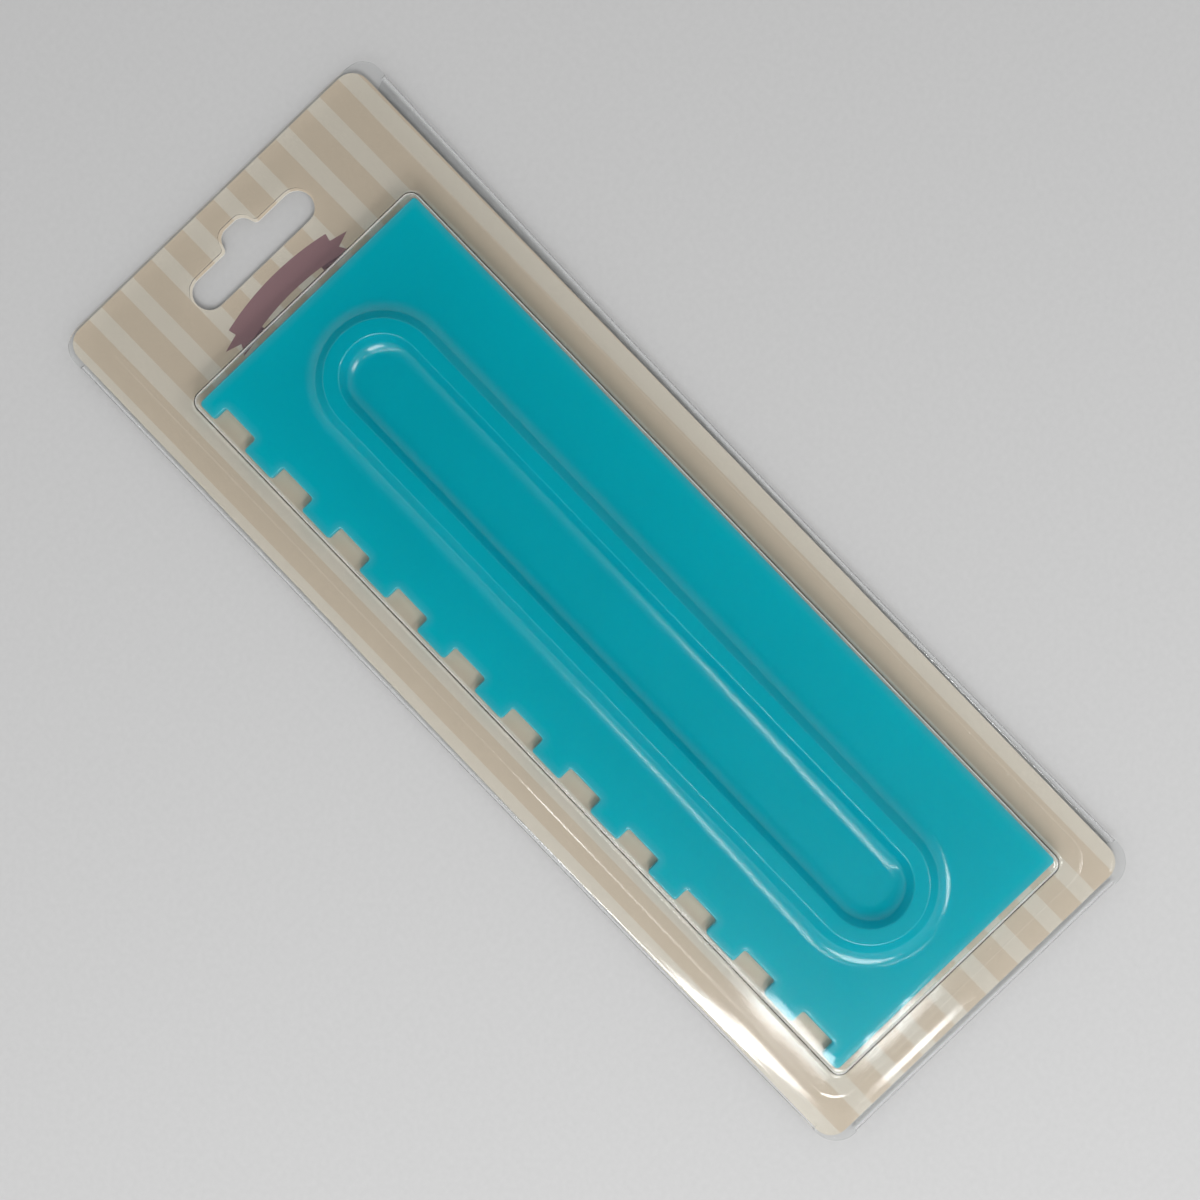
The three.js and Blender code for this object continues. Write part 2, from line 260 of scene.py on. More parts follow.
def stadium(radius):
    """The grip bead's line at a radius from the centres of its two round ends."""
    points = []
    for side in (1, -1):
        for k in range(TURN_STEPS + 1):
            angle = math.pi * k / TURN_STEPS
            along = bead_straight / 2 + radius * math.sin(angle)
            points.append(side * Vector((radius * math.cos(angle), along)))
    return points


def slot_outline(grow):
    """The hang slot: a bar with round ends and a hump for the hook."""
    wide = SLOT_WIDTH / 2 + grow
    tall = SLOT_HEIGHT / 2 + grow
    hump_base = SLOT_HUMP_BASE / 2 + grow
    hump_top = SLOT_HUMP_TOP / 2 + grow
    top = tall + SLOT_HUMP_RISE
    corners = [
        (-wide, -tall, tall),
        (wide, -tall, tall),
        (wide, tall, tall),
        (hump_base, tall, SLOT_HUMP_FLARE),
        (hump_top, top, SLOT_HUMP_ROUND),
        (-hump_top, top, SLOT_HUMP_ROUND),
        (-hump_base, tall, SLOT_HUMP_FLARE),
        (-wide, tall, tall),
    ]
    return [point + Vector((card_middle, slot_middle)) for point in rounded(corners, CORNER_STEPS)]


# Meshes


def ring(bm, outline, height):
    """A closed row of vertices; height is a number or a function of x and y."""
    level = height if callable(height) else lambda x, y: height
    return [bm.verts.new((x, y, level(x, y))) for x, y in outline]


def bridge(bm, rings):
    """Faces between each closed row of vertices and the next."""
    for low, high in zip(rings, rings[1:]):
        count = len(low)
        for i in range(count):
            after = (i + 1) % count
            bm.faces.new((low[i], low[after], high[after], high[i]))


def inside(points, loops):
    """For each point, whether it lies inside an odd number of the closed loops."""
    points = np.asarray(points, float).reshape(-1, 2)
    odd = np.zeros(len(points), bool)
    for loop in loops:
        start = np.asarray(loop, float)
        end = np.roll(start, -1, axis=0)
        for (x0, y0), (x1, y1) in zip(start, end):
            if y0 != y1:
                spans = (points[:, 1] >= y0) != (points[:, 1] >= y1)
                odd ^= spans & (points[:, 0] < x0 + (points[:, 1] - y0) * (x1 - x0) / (y1 - y0))
    return odd


def clear_of(points, loops, gap):
    """For each point, whether it stays at least a gap away from the closed loops."""
    points = np.asarray(points, float).reshape(-1, 2)
    nearest = np.full(len(points), np.inf)
    for loop in loops:
        start = np.asarray(loop, float)
        along = np.roll(start, -1, axis=0) - start
        for base, step in zip(start, along):
            share = np.clip((points - base) @ step / max(step @ step, SAME_PLACE**2), 0, 1)
            nearest = np.minimum(nearest, np.hypot(*(points - base - share[:, None] * step).T))
    return nearest >= gap


def grid(left, right, low, high, step):
    """Points spread evenly inside a rectangle, clear of its edges."""
    columns = max(1, round((right - left) / step))
    rows = max(1, round((high - low) / step))
    return [
        (left + (right - left) * i / columns, low + (high - low) * j / rows)
        for i in range(1, columns)
        for j in range(1, rows)
    ]


def walled_in(triangles, walls):
    """Groups of triangles, each closed in by walls, which are pairs of corners."""
    beside = {}
    for i, (a, b, c) in enumerate(triangles):
        for edge in (frozenset((a, b)), frozenset((b, c)), frozenset((c, a))):
            if edge not in walls:
                beside.setdefault(edge, []).append(i)
    neighbours = {i: set() for i in range(len(triangles))}
    for pair in beside.values():
        for i in pair:
            neighbours[i].update(pair)
    groups = []
    left = set(neighbours)
    while left:
        group = set()
        reached = {min(left)}
        while reached:
            group |= reached
            reached = set().union(*(neighbours[i] for i in reached)) - group
        left -= group
        groups.append([triangles[i] for i in sorted(group)])
    return groups


def fill(bm, loops, height, points=(), lines=()):
    """Triangles inside the first closed loop of vertices and outside the others, through loose
    points and along loose lines. It gives the new faces."""
    level = height if callable(height) else lambda x, y: height
    flat_loops = [[v.co.xy[:] for v in loop] for loop in loops]
    wanted = inside(points, flat_loops) & clear_of(points, flat_loops, GRID_MARGIN)
    loose = [Vector(p) for p, keep in zip(points, wanted) if keep]
    verts = [v for loop in loops for v in loop]
    edges = []
    start = 0
    for loop in loops:
        edges += [(start + i, start + (i + 1) % len(loop)) for i in range(len(loop))]
        start += len(loop)
    coords = [v.co.xy for v in verts] + loose
    for line in lines:
        edges += [(len(coords) + i, len(coords) + i + 1) for i in range(len(line) - 1)]
        coords += [Vector(p) for p in line]
    places, made, triangles, origins, made_from, _ = delaunay_2d_cdt(coords, edges, [], 0, SAME_PLACE)
    walls = {frozenset(edge) for edge, origin in zip(made, made_from) if origin}
    corner = []
    for place, origin in zip(places, origins):
        known = [i for i in origin if i < len(verts)]
        corner.append(verts[known[0]] if known else bm.verts.new((*place, level(*place))))
    faces = []
    for group in walled_in(triangles, walls):
        widest = max(([places[i] for i in t] for t in group), key=lambda t: area_tri(*t))
        middle = sum(widest, Vector((0, 0))) / 3
        if area_tri(*widest) > SLIVER and inside(middle, flat_loops)[0]:
            faces += [bm.faces.new([corner[i] for i in t]) for t in group]
    return faces


def closed_up(bm):
    """Takes out vertices with no face and turns all faces the same way."""
    bmesh.ops.delete(bm, geom=[v for v in bm.verts if not v.link_faces], context="VERTS")
    bmesh.ops.recalc_face_normals(bm, faces=bm.faces)


def piece(name, bm, materials, sharp, thickness=0):
    """An object from a mesh in millimetres, smooth but for edges sharper than an angle. An open sheet
    gets its thickness on the side away from its normals."""
    bm.transform(Matrix.Scale(MM, 4))
    mesh = bpy.data.meshes.new(name)
    bm.to_mesh(mesh)
    bm.free()
    for material in materials:
        mesh.materials.append(material)
    made = bpy.data.objects.new(name, mesh)
    bpy.context.scene.collection.objects.link(made)
    if thickness:
        shell = made.modifiers.new("thickness", "SOLIDIFY")
        shell.thickness = thickness * MM
        shell.offset = -1
        shell.use_even_offset = True
        shell.use_quality_normals = True
        depsgraph = bpy.context.evaluated_depsgraph_get()
        solid = bpy.data.meshes.new_from_object(made.evaluated_get(depsgraph))
        made.modifiers.clear()
        made.data = solid
        bpy.data.meshes.remove(mesh)
        solid.name = name
    made.data.shade_smooth()
    made.data.set_sharp_from_angle(angle=sharp)
    weighted = made.modifiers.new("even_shading", "WEIGHTED_NORMAL")
    weighted.keep_sharp = True
    return made


# Scraper


def plate_outline(inset):
    """The plate's outline drawn in by inset, with a row of square notches up the comb edge."""
    pitch = NOTCH_WIDTH + TOOTH_WIDTH
    notches = math.floor(2 * half_length / pitch)
    comb = -half_width + inset
    root = comb + NOTCH_DEPTH
    end = half_length - inset
    outer = max(PLATE_CORNER - inset, LEAST_ROUND)
    tip = max(NOTCH_CORNER - inset, LEAST_ROUND)
    hollow = NOTCH_CORNER + inset
    corners = [
        (comb, -end, outer),
        (bevel_start, -end, 0),
        (half_width - inset, -end, outer),
        (half_width - inset, end, outer),
        (bevel_start, end, 0),
        (comb, end, outer),
    ]
    for i in range(notches):
        middle = ((notches - 1) / 2 - i) * pitch
        top = middle + NOTCH_WIDTH / 2 + inset
        low = middle - NOTCH_WIDTH / 2 - inset
        corners += [(comb, top, tip), (root, top, hollow), (root, low, hollow), (comb, low, tip)]
    return rounded(corners, CORNER_STEPS)


def bevel_share(x):
    """How far x lies along the bevel, from 0 at its start to 1 at the tip of the smoothing edge."""
    return max(0, x - bevel_start) / SMOOTHING_BEVEL


def plate_foot(x, y):
    """The height of the plate's underside, which rises to leave a thin tip along the smoothing edge."""
    return (PLATE_THICKNESS - SMOOTHING_TIP) * bevel_share(x)


def bead_side(wall_run):
    """Half of the grip bead's section, from its foot up to its crest, as distances from its middle line,
    heights over the plate's underside and roundings."""
    rim = BEAD_CREST / 2
    wall_foot = rim + wall_run
    reach = wall_foot + BEAD_SKIRT_RUN
    skirt_radius = (BEAD_SKIRT_RUN**2 + BEAD_SKIRT_RISE**2) / (2 * BEAD_SKIRT_RISE)
    skirt_corner = reach - skirt_radius * BEAD_SKIRT_RISE / BEAD_SKIRT_RUN
    return [
        (reach, PLATE_THICKNESS, 0),
        (skirt_corner, PLATE_THICKNESS, BEAD_SKIRT_ROUND),
        (wall_foot, PLATE_THICKNESS + BEAD_SKIRT_RISE, BEAD_WALL_ROUND),
        (rim, PLATE_THICKNESS + bead_height, BEAD_RIM_ROUND),
    ]


def groove_side(wall_run):
    """Half of the groove under the bead, with its side parallel to the bead's wall."""
    slope = math.atan2(bead_height - BEAD_SKIRT_RISE, wall_run)
    top = PLATE_THICKNESS + bead_height - BEAD_SHELL
    rim = BEAD_CREST / 2 - BEAD_SHELL * math.tan(slope / 2)
    foot = rim + top / math.tan(slope)
    return [(foot + GROOVE_LIP, 0, 0), (foot, 0, GROOVE_LIP_ROUND), (rim, top, BEAD_RIM_ROUND)]


def across(side):
    """A whole section from outside to inside, from the function of one side of it."""
    inner = [(-x, z, radius) for x, z, radius in reversed(side(BEAD_INNER_WALL_RUN))]
    return rounded(side(BEAD_OUTER_WALL_RUN) + inner, BEAD_STEPS, closed=False)


def swept(bm, profile):
    """Rings round the bead's stadium for each point of a profile, joined by faces."""
    rings = [ring(bm, stadium(bead_middle + offset), height) for offset, height in profile]
    bridge(bm, rings)
    return rings[0], rings[-1]


def scraper_mesh():
    bm = bmesh.new()
    # Painted light: each vertex carries its share of the painted edge glow
    thin = bm.verts.layers.float.new("painted_edge_glow")
    underside = []
    edge = []
    shares = []
    for k in range(EDGE_STEPS + 1):
        angle = math.pi / 2 * k / EDGE_STEPS
        rise = EDGE_ROUND * (1 - math.cos(angle))
        outline = plate_outline(EDGE_ROUND * (1 - math.sin(angle)))
        underside.append(ring(bm, outline, lambda x, y: plate_foot(x, y) + rise))
        shares.append(EDGE_GLOW_PAINT[1][1])
    for k in range(EDGE_STEPS):
        angle = math.pi / 2 * k / EDGE_STEPS
        rise = EDGE_ROUND * math.sin(angle)
        outline = plate_outline(EDGE_ROUND * (1 - math.cos(angle)))
        edge.append(ring(bm, outline, PLATE_THICKNESS - EDGE_ROUND + rise))
        shares.append(EDGE_GLOW_PAINT[0][1])
    for inset, share in EDGE_GLOW_PAINT[1:]:
        edge.append(ring(bm, plate_outline(inset), PLATE_THICKNESS))
        shares.append(share)
    bridge(bm, underside + edge)
    # Painted light: each row gets its share of painted edge glow, which also grows over the bevel towards the
    # tip
    for row, share in zip(underside + edge, shares):
        for vert in row:
            vert[thin] = max(share, TIP_GLOW_PAINT * bevel_share(vert.co.x) ** 2)
    foot_outer, foot_inner = swept(bm, across(bead_side))
    groove_outer, groove_inner = swept(bm, across(groove_side))

    def bevel_line(row):
        return [vert.co.xy for vert in row if abs(vert.co.x - bevel_start) < SAME_PLACE]

    fill(bm, [edge[-1], foot_outer], PLATE_THICKNESS, lines=[bevel_line(edge[-1])])
    fill(bm, [foot_inner], PLATE_THICKNESS)
    fill(bm, [underside[0], groove_outer], plate_foot, lines=[bevel_line(underside[0])])
    fill(bm, [groove_inner], 0)
    closed_up(bm)
    bm.transform(Matrix.Translation(scraper_place))
    return bm


# Backing card


def ribbon_outlines():
    """The curved band, the two swallow tails behind it and the folds between them."""
    apex = Vector((card_middle + RIBBON_MIDDLE, card_high.y - RIBBON_DROP))

    def placed(points):
        return [apex + turned(Vector(p), RIBBON_TURN) for p in points]

    def arc(radius, sweep):
        angles = [sweep * RIBBON_HALF_ANGLE * (2 * k / END_SPANS - 1) for k in range(END_SPANS + 1)]
        return [(radius * math.sin(a), radius * math.cos(a) - RIBBON_RADIUS) for a in angles]

    band = placed(arc(RIBBON_RADIUS, 1) + arc(RIBBON_RADIUS - RIBBON_HEIGHT, -1))
    tails = [placed([(side * u, v) for u, v in RIBBON_TAIL]) for side in (1, -1)]
    folds = [placed([(side * u, v) for u, v in RIBBON_FOLD]) for side in (1, -1)]
    return band, folds, tails


# The card's materials, in the order of its list of them
BARE, STRIPED, RIBBON_INK, FOLD_INK = range(4)


def card_mesh():
    bm = bmesh.new()
    outline = rectangle(card_low.x, card_high.x, card_low.y, card_high.y, CARD_CORNER)
    slot = slot_outline(0)
    low_edge = ring(bm, outline, card_low.z)
    low_slot = ring(bm, slot, card_low.z)
    top_edge = ring(bm, outline, card_high.z)
    top_slot = ring(bm, slot, card_high.z)
    spread = grid(card_low.x, card_high.x, card_low.y, card_high.y, GRID)
    bridge(bm, [low_edge, top_edge])
    bridge(bm, [low_slot, top_slot])
    fill(bm, [low_edge, low_slot], card_low.z, spread)
    band, folds, tails = ribbon_outlines()
    lines = [shape + shape[:1] for shape in (band, *folds, *tails)]
    printed = fill(bm, [top_edge, top_slot], card_high.z, spread, lines)
    middles = [face.calc_center_median().xy[:] for face in printed]
    for face in bm.faces:
        face.material_index = BARE
    for face in printed:
        face.material_index = STRIPED
    for index, group in ((RIBBON_INK, tails), (FOLD_INK, folds), (RIBBON_INK, [band])):
        for shape in group:
            for face, within in zip(printed, inside(middles, [shape])):
                if within:
                    face.material_index = index
    closed_up(bm)
    return bm


# Blister


def flange_ring(bm, inset, height):
    """A row of vertices drawn in from the film's edge, whose slope is shorter at the open end."""
    header_inset = inset
    if inset > EDGE_STRIP:
        header_inset = EDGE_STRIP + (inset - EDGE_STRIP) * HEADER_SLOPE / BORDER_SLOPE
    wide = film_half_width - inset
    low = -film_half_length + inset
    high = film_half_length - header_inset
    return ring(bm, rectangle(-wide, wide, low, high, FILM_FOOT_CORNER, FILM_HEAD_CORNER), height)


def pocket_ring(bm, inset, height):
    wide = film_half_width - SIDE_BORDER - inset
    low = -film_half_length + FOOT_BORDER + inset
    high = film_half_length - HEADER - inset
    return ring(bm, rectangle(-wide, wide, low, high, POCKET_CORNER), height)


def pocket_profile():
    """Insets from the line where the flange turns up and heights, from the panel down to the land."""
    wall_turn = math.pi / 2 - POCKET_DRAFT
    foot = POCKET_FOOT_ROUND * math.tan(wall_turn / 2)
    top = foot + (pocket_top - land_top) * math.tan(POCKET_DRAFT)
    panel = top + POCKET_TOP_ROUND * math.tan(wall_turn / 2)
    corners = [
        (panel, pocket_top, 0),
        (top, pocket_top, POCKET_TOP_ROUND),
        (foot, land_top, POCKET_FOOT_ROUND),
        (0, land_top, 0),
    ]
    return rounded(corners, FILLET_STEPS, closed=False)[1:-1]


def border_profile():
    """Insets from the film's edge and heights, from a crease round the land down to the folds. The
    film rolls down more and more steeply as it nears a fold."""
    crease = EDGE_STRIP + BORDER_SLOPE
    crease_foot = crease - CREASE_RUN
    roll_top = land_top - CREASE_STEP
    corners = [
        (crease + CREASE_RUN, land_top, 0),
        (crease, land_top, CREASE_ROUND),
        (crease_foot, roll_top, CREASE_ROUND),
        (crease_foot - CREASE_RUN, roll_top, 0),
    ]
    profile = rounded(corners, FILLET_STEPS, closed=False)[1:]
    start = profile[-1].x
    end = fold_radius + FOLD_CLEARANCE
    for k in range(1, ROLL_STEPS + 1):
        share = k / ROLL_STEPS
        height = roll_top + (strip_top - roll_top) * share**3
        profile.append(Vector((start + (end - start) * share, height)))
    return profile


def rail(bm, turn, reach, length, spans):
    """A fold that carries the film round the card's edge and the flap below the card. It gives the
    vertices along the top of the fold."""

    def place(out, along, height):
        x, y = turned(Vector((out, along)), turn)
        return bm.verts.new((x, y, height))

    stations = [length * (k / spans - 0.5) for k in range(spans + 1)]
    rows = []
    for step in range(FOLD_STEPS + 1):
        angle = math.pi * step / FOLD_STEPS
        out = reach + fold_radius * math.sin(angle)
        rows.append([place(out, s, fold_radius * (1 + math.cos(angle))) for s in stations])
    for step in range(1, FLAP_SPANS + 1):
        share = step / FLAP_SPANS
        shrink = 1 - 2 * FLAP_END_CUT * share / length
        rows.append([place(reach - FLAP_WIDTH * share, s * shrink, 0) for s in stations])
    for upper, lower in zip(rows, rows[1:]):
        for i in range(spans):
            bm.faces.new((upper[i], lower[i], lower[i + 1], upper[i + 1]))
    return rows[0]


def film_edge(bm):
    """The closed line round the film's strip: along the tops of the three folds, and out round the
    corners and the open end."""
    side_length = 2 * (film_half_length - RAIL_END_MARGIN)
    foot_length = 2 * (film_half_width - RAIL_END_MARGIN)
    right = rail(bm, 0, film_half_width - fold_radius, side_length, SIDE_SPANS)
    left = rail(bm, math.pi, film_half_width - fold_radius, side_length, SIDE_SPANS)
    foot = rail(bm, -math.pi / 2, film_half_length - fold_radius, foot_length, END_SPANS)
    wide = film_half_width
    tall = film_half_length
    rail_top = side_length / 2
    foot_end = foot_length / 2
    head = [
        (wide, rail_top, 0),
        (wide, tall, FILM_HEAD_CORNER),
        (-wide, tall, FILM_HEAD_CORNER),
        (-wide, rail_top, 0),
    ]
    left_corner = [(-wide, -rail_top, 0), (-wide, -tall, FILM_FOOT_CORNER), (-foot_end, -tall, 0)]
    right_corner = [(foot_end, -tall, 0), (wide, -tall, FILM_FOOT_CORNER), (wide, -rail_top, 0)]
    head_line = ring(bm, rounded(head, CORNER_STEPS, (1, END_SPANS, 1, 1), closed=False), strip_top)
    left_line = ring(bm, rounded(left_corner, CORNER_STEPS, closed=False), strip_top)
    right_line = ring(bm, rounded(right_corner, CORNER_STEPS, closed=False), strip_top)
    return right + head_line + left + left_line + foot + right_line


def film_sheet():
    """The film's outer face as one open sheet, from the pocket's panel to the flaps."""
    bm = bmesh.new()
    pocket = [pocket_ring(bm, inset, height) for inset, height in pocket_profile()]
    border = [flange_ring(bm, inset, height) for inset, height in border_profile()]
    slot = ring(bm, slot_outline(SLOT_FILM_MARGIN), land_top)
    bridge(bm, pocket)
    bridge(bm, border)
    spread = grid(film_low.x, film_high.x, film_low.y, film_high.y, GRID)
    panel = fill(bm, [pocket[0]], pocket_top, spread)
    fill(bm, [border[0], slot, pocket[-1]], land_top, spread)
    fill(bm, [film_edge(bm), border[-1]], strip_top)
    closed_up(bm)
    if panel[0].normal.z < 0:
        bmesh.ops.reverse_faces(bm, faces=bm.faces)
    for vert in bm.verts:
        uneven_film(vert.co)
    return bm


def uneven_film(place):
    """Levels the open end, bows the flat areas a little and bends the side folds in and out."""
    if strip_top - SAME_PLACE < place.z < land_top:
        level = min(1, max(0, (place.y - film_half_length + OPEN_END) / OPEN_RUN))
        place.z += (land_top - place.z) * level
    wave = noise.noise((place.x / FILM_WAVE_LENGTH, place.y / FILM_WAVE_LENGTH, place.z))
    if place.z > strip_top:
        place.z += FILM_WAVE * wave
    inset = film_half_width - abs(place.x)
    share = min(1, max(0, (EDGE_STRIP + BORDER_SLOPE - inset) / BORDER_SLOPE))
    if place.z < card_low.z:
        on_rail = abs(place.y) < film_half_length - RAIL_END_MARGIN + SAME_PLACE
        share = 1 if on_rail and inset < fold_radius + FLAP_WIDTH + SAME_PLACE else 0
    out, middle, swing = RIGHT_BOW if place.x > 0 else LEFT_BOW
    bow = out + swing * ((place.y - middle) / BOW_LENGTH) ** 2
    place.x += math.copysign(share, place.x) * bow


# Materials


def linear(colour):
    """An sRGB hex value as linear red, green, blue and alpha."""
    channels = [int(colour[i : i + 2], 16) / 255 for i in (1, 3, 5)]
    return [c / 12.92 if c <= 0.04045 else ((c + 0.055) / 1.055) ** 2.4 for c in channels] + [1]


def new_material(name):
    material = bpy.data.materials.new(name)
    material.use_nodes = True
    material.node_tree.nodes.clear()
    return material, material.node_tree


def add(tree, kind, inputs=None, **settings):
    """A node with its settings; an input is a value or the socket that feeds it."""
    node = tree.nodes.new(kind)
    for name, value in settings.items():
        setattr(node, name, value)
    for key, value in (inputs or {}).items():
        if isinstance(value, bpy.types.NodeSocket):
            tree.links.new(value, node.inputs[key])
        else:
            node.inputs[key].default_value = value
    return node


# Sockets of a colour Mix node
FACTOR, FIRST, SECOND, MIXED = 0, 6, 7, 2


# Sizes of the patterns. A mould's grain and a paper's fibre are finer than this, and are drawn as coarse
# as they need to show
CLOUD_SIZE = 22
GRAIN_SIZE = 0.8
RIPPLE_SIZE = 9
FIBRE_SIZE = 0.5
MOTTLE_SIZE = 1.2
GRAIN_DEPTH = 0.05
RIPPLE_DEPTH = 0.1
FIBRE_DEPTH = 0.03
# The share of the plastic's shading that is light from its other side
CLOUDINESS = 0.5
# How steeply the light that the film turns back grows with its slant
MIRROR_POWER = 3
PRINT_ROUGHNESS = 0.5
BARE_ROUGHNESS = 0.7


def per_mm(size):
    """The scale that gives a pattern of that size in millimetres."""
    return 1 / (size * MM)


def moulded_polypropylene():
    """Turquoise polypropylene straight from a polished mould: even and satin, a little cloudy inside,
    and painted lighter at its edges: a painted glow for the light that comes through the plastic there."""
    material, tree = new_material("moulded_polypropylene")
    place = add(tree, "ShaderNodeTexCoord").outputs["Object"]
    thin = add(tree, "ShaderNodeAttribute", attribute_name="painted_edge_glow").outputs["Fac"]
    clouds = add(
        tree,
        "ShaderNodeTexNoise",
        {"Vector": place, "Scale": per_mm(CLOUD_SIZE), "Detail": 3, "Roughness": 0.5},
    )
    body = add(
        tree,
        "ShaderNodeMix",
        {FACTOR: clouds.outputs["Fac"], FIRST: linear("#00D9E8"), SECOND: linear("#00E0F0")},
        data_type="RGBA",
    )
    # Painted light: the edge glow share mixes in a lighter turquoise where light would come through thin
    # plastic
    colour = add(
        tree,
        "ShaderNodeMix",
        {FACTOR: thin, FIRST: body.outputs[MIXED], SECOND: linear("#78DCE6")},
        data_type="RGBA",
    )
    skin = add(tree, "ShaderNodeTexNoise", {"Vector": place, "Scale": per_mm(GRAIN_SIZE), "Detail": 2})
    grain = skin.outputs["Fac"]
    rough = add(tree, "ShaderNodeMapRange", {"Value": grain, "To Min": 0.13, "To Max": 0.19})
    bump = add(tree, "ShaderNodeBump", {"Height": grain, "Strength": 0.08, "Distance": GRAIN_DEPTH * MM})
    plastic = add(
        tree,
        "ShaderNodeBsdfPrincipled",
        {
            "Base Color": colour.outputs[MIXED],
            "Roughness": rough.outputs["Result"],
            "IOR": 1.49,
            "Specular IOR Level": 0.9,
            "Normal": bump.outputs["Normal"],
        },
    )
    glow = add(
        tree,
        "ShaderNodeBsdfTranslucent",
        {"Color": colour.outputs[MIXED], "Normal": bump.outputs["Normal"]},
    )
    cloudy = add(
        tree,
        "ShaderNodeMixShader",
        {0: CLOUDINESS, 1: plastic.outputs["BSDF"], 2: glow.outputs["BSDF"]},
    )
    add(tree, "ShaderNodeOutputMaterial", {"Surface": cloudy.outputs["Shader"]})
    return material


def thermoformed_film():
    """Clear film drawn over a heated mould: glassy, with the slight ripple that forming leaves. Light
    that casts shadows goes straight through it, less what its two faces turn back."""
    material, tree = new_material("thermoformed_film")
    place = add(tree, "ShaderNodeTexCoord").outputs["Object"]
    ripple = add(
        tree,
        "ShaderNodeTexNoise",
        {"Vector": place, "Scale": per_mm(RIPPLE_SIZE), "Detail": 2, "Roughness": 0.4},
    )
    bump = add(
        tree,
        "ShaderNodeBump",
        {"Height": ripple.outputs["Fac"], "Strength": 0.12, "Distance": RIPPLE_DEPTH * MM},
    )
    glassy = add(
        tree,
        "ShaderNodeBsdfPrincipled",
        {
            "Base Color": linear("#FBFCFC"),
            "Roughness": 0.07,
            "IOR": 1.53,
            "Transmission Weight": 1,
            "Normal": bump.outputs["Normal"],
        },
    )
    slant = add(tree, "ShaderNodeLayerWeight", {"Blend": 0.5})
    mirrored = add(
        tree,
        "ShaderNodeMath",
        {0: slant.outputs["Facing"], 1: MIRROR_POWER},
        operation="POWER",
    )
    passed = add(
        tree,
        "ShaderNodeMix",
        {FACTOR: mirrored.outputs[0], FIRST: linear("#FAFAFA"), SECOND: linear("#000000")},
        data_type="RGBA",
    )
    through = add(tree, "ShaderNodeBsdfTransparent", {"Color": passed.outputs[MIXED]})
    path = add(tree, "ShaderNodeLightPath")
    surface = glassy.outputs["BSDF"]
    for ray in ("Is Shadow Ray", "Is Diffuse Ray"):
        mixed = add(
            tree,
            "ShaderNodeMixShader",
            {0: path.outputs[ray], 1: surface, 2: through.outputs["BSDF"]},
        )
        surface = mixed.outputs["Shader"]
    add(tree, "ShaderNodeOutputMaterial", {"Surface": surface})
    return material


def board_finish(tree, place, colour, roughness):
    """Coated board: a smooth clay coat that shows the paper's fibre faintly through colour and gloss."""
    fibre = add(
        tree,
        "ShaderNodeTexNoise",
        {"Vector": place, "Scale": per_mm(FIBRE_SIZE), "Detail": 4, "Roughness": 0.6},
    )
    shade = add(tree, "ShaderNodeMapRange", {"Value": fibre.outputs["Fac"], "To Min": 0.9, "To Max": 1.07})
    tint = add(
        tree,
        "ShaderNodeMix",
        {FACTOR: 1.0, FIRST: colour, SECOND: shade.outputs["Result"]},
        data_type="RGBA",
        blend_type="MULTIPLY",
    )
    bump = add(
        tree,
        "ShaderNodeBump",
        {"Height": fibre.outputs["Fac"], "Strength": 0.15, "Distance": FIBRE_DEPTH * MM},
    )
    board = add(
        tree,
        "ShaderNodeBsdfPrincipled",
        {
            "Base Color": tint.outputs[MIXED],
            "Roughness": roughness,
            "IOR": 1.5,
            "Normal": bump.outputs["Normal"],
        },
    )
    add(tree, "ShaderNodeOutputMaterial", {"Surface": board.outputs["BSDF"]})


def striped_print():
    """Offset print on coated board: tan stripes on cream, with the crisp edges of a printed plate."""
    material, tree = new_material("striped_offset_print")
    place = add(tree, "ShaderNodeTexCoord").outputs["Object"]
    axes = add(tree, "ShaderNodeSeparateXYZ", {"Vector": place})
    skew = add(tree, "ShaderNodeMath", {0: axes.outputs["Y"], 1: STRIPE_SKEW}, operation="MULTIPLY")
    sideways = add(tree, "ShaderNodeMath", {0: axes.outputs["X"], 1: skew.outputs[0]}, operation="ADD")
    pitch = STRIPE_PITCH * MM
    start = (STRIPE_MIDDLE - STRIPE_PITCH / 2) * MM
    shifted = add(tree, "ShaderNodeMath", {0: sideways.outputs[0], 1: start}, operation="SUBTRACT")
    phase = add(tree, "ShaderNodeMath", {0: shifted.outputs[0], 1: pitch}, operation="FLOORED_MODULO")
    off = add(tree, "ShaderNodeMath", {0: phase.outputs[0], 1: pitch / 2}, operation="SUBTRACT")
    away = add(tree, "ShaderNodeMath", {0: off.outputs[0]}, operation="ABSOLUTE")
    edge = TAN_STRIPE / 2 * MM
    blur = STRIPE_BLUR * MM
    cream = add(
        tree,
        "ShaderNodeMapRange",
        {"Value": away.outputs[0], "From Min": edge - blur, "From Max": edge + blur},
    )
    colour = add(
        tree,
        "ShaderNodeMix",
        {FACTOR: cream.outputs["Result"], FIRST: linear("#CEBFAA"), SECOND: linear("#D8D0C1")},
        data_type="RGBA",
    )
    board_finish(tree, place, colour.outputs[MIXED], PRINT_ROUGHNESS)
    return material


def plain_board(name, colour, roughness=BARE_ROUGHNESS):
    """Bare or solidly printed board of one colour, with its fibre."""
    material, tree = new_material(name)
    place = add(tree, "ShaderNodeTexCoord").outputs["Object"]
    board_finish(tree, place, linear(colour), roughness)
    return material


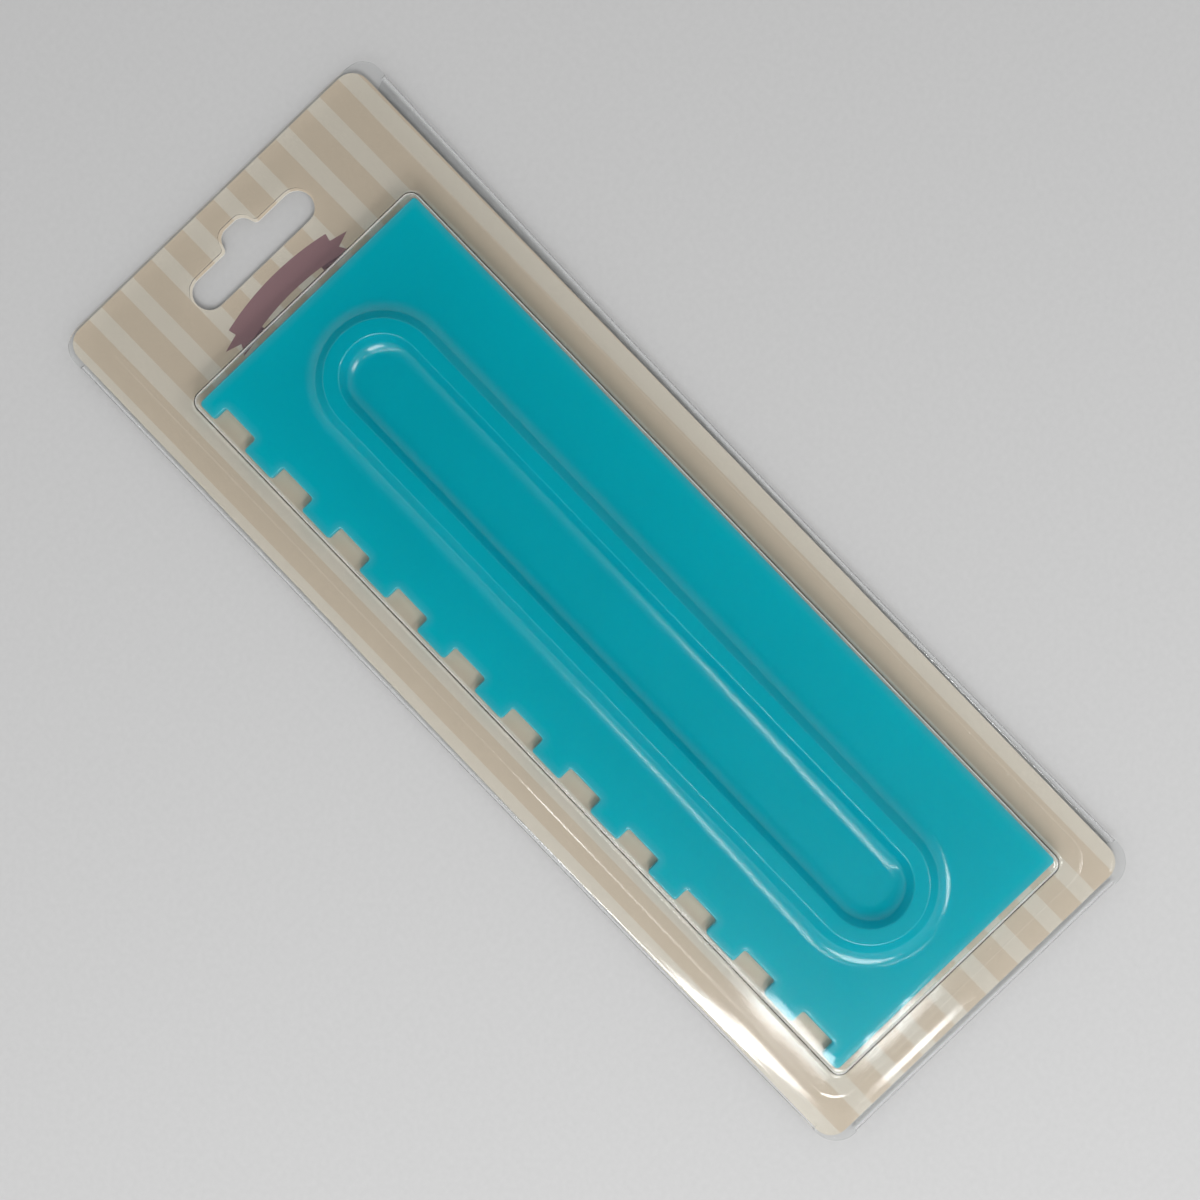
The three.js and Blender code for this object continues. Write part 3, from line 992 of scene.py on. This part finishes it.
def pale_table():
    """A pale laminate table top: matt, with a faint mottle."""
    material, tree = new_material("pale_laminate")
    place = add(tree, "ShaderNodeTexCoord").outputs["Object"]
    mottle = add(tree, "ShaderNodeTexNoise", {"Vector": place, "Scale": per_mm(MOTTLE_SIZE), "Detail": 3})
    colour = add(
        tree,
        "ShaderNodeMix",
        {FACTOR: mottle.outputs["Fac"], FIRST: linear("#BFBFBF"), SECOND: linear("#C7C7C7")},
        data_type="RGBA",
    )
    top = add(tree, "ShaderNodeBsdfPrincipled", {"Base Color": colour.outputs[MIXED], "Roughness": 0.6})
    add(tree, "ShaderNodeOutputMaterial", {"Surface": top.outputs["BSDF"]})
    return material


# Table, light and camera

TABLE_SIZE = 3000
TABLE_GAP = 0.02
# Ceiling panels: a long one towards the comb side, a small one past the foot, and two wide ones further
# past the foot, the room panel on the comb side and the fill panel on the smoothing side. Each has its
# corner nearest to the part, its size and its turn, so that its mirror image misses the flat film
LAMP_HEIGHT = 900
LAMPS = {
    "long_panel": (Vector((-138, -228)), Vector((930, 65)), math.radians(-13.3)),
    "small_panel": (Vector((-28, -344)), Vector((60, 70)), 0),
    "room_panel": (Vector((-260, -440)), Vector((520, 450)), 0),
    "fill_panel": (Vector((180, -440)), Vector((260, 290)), math.radians(90)),
}
LAMP_BRIGHTNESS = 34
# The room's own light, even up to one height of a direction of length 1 and gone from another, so that the
# flat film mirrors a dark ceiling
ROOM_LIGHT = 1.05
ROOM_EVEN = 0.45
ROOM_DARK = 0.9


def table():
    mesh = bpy.data.meshes.new("table")
    half = TABLE_SIZE / 2 * MM
    corners = [(-half, -half), (half, -half), (half, half), (-half, half)]
    mesh.from_pydata([(x, y, -TABLE_GAP * MM) for x, y in corners], [], [(0, 1, 2, 3)])
    mesh.materials.append(pale_table())
    made = bpy.data.objects.new("table", mesh)
    bpy.context.scene.collection.objects.link(made)


def light():
    for name, (corner, size, turn) in LAMPS.items():
        lamp = bpy.data.lights.new(name, "AREA")
        lamp.shape = "RECTANGLE"
        lamp.size, lamp.size_y = size * MM
        lamp.energy = LAMP_BRIGHTNESS * lamp.size * lamp.size_y
        made = bpy.data.objects.new(name, lamp)
        middle = corner + turned(-size / 2, turn)
        made.location = Vector((*middle, LAMP_HEIGHT)) * MM
        made.rotation_euler = (0, 0, turn)
        bpy.context.scene.collection.objects.link(made)

    world = bpy.data.worlds.new("room")
    bpy.context.scene.world = world
    world.use_nodes = True
    tree = world.node_tree
    tree.nodes.clear()
    direction = add(tree, "ShaderNodeTexCoord").outputs["Generated"]
    up = add(tree, "ShaderNodeSeparateXYZ", {"Vector": direction})
    level = add(
        tree,
        "ShaderNodeMapRange",
        {
            "Value": up.outputs["Z"],
            "From Min": ROOM_EVEN,
            "From Max": ROOM_DARK,
            "To Min": ROOM_LIGHT,
            "To Max": 0,
        },
    )
    sky = add(tree, "ShaderNodeBackground", {"Color": linear("#FFFFFF"), "Strength": level.outputs["Result"]})
    add(tree, "ShaderNodeOutputWorld", {"Surface": sky.outputs["Background"]})


def camera():
    made = bpy.data.objects.new("camera", bpy.data.cameras.new("camera"))
    made.data.sensor_width = SENSOR
    made.data.lens = SENSOR * CAMERA_FOCUS_PIXELS / PHOTO_PIXELS
    back = (CAMERA_PLACE - CAMERA_TARGET).normalized()
    picture_up = Vector((math.sin(CAMERA_TURN), math.cos(CAMERA_TURN), 0))
    right = picture_up.cross(back).normalized()
    axes = Matrix((right, back.cross(right), back)).transposed()
    made.matrix_world = Matrix.LocRotScale(CAMERA_PLACE * MM, axes, None)
    made.data.clip_start = MM
    bpy.context.scene.collection.objects.link(made)
    bpy.context.scene.camera = made


# Pieces on their bodies

camera()

scraper = piece("moulded_scraper", scraper_mesh(), [moulded_polypropylene()], SHARP_TURN)
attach(scraper, "scraper")
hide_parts("scraper")

card_materials = [
    plain_board("bare_board", "#E9E5DC"),
    striped_print(),
    plain_board("ribbon_ink", "#937377", PRINT_ROUGHNESS),
    plain_board("ribbon_fold_ink", "#71585E", PRINT_ROUGHNESS),
]
card = piece("printed_card", card_mesh(), card_materials, SHARP_TURN)
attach(card, "card")
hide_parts("backing_card")

film = piece("clear_blister", film_sheet(), [thermoformed_film()], SHARP_TURN, FILM_THICKNESS)
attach(film, "blister")
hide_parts("blister")

table()
light()
bpy.context.scene.view_settings.view_transform = "Standard"
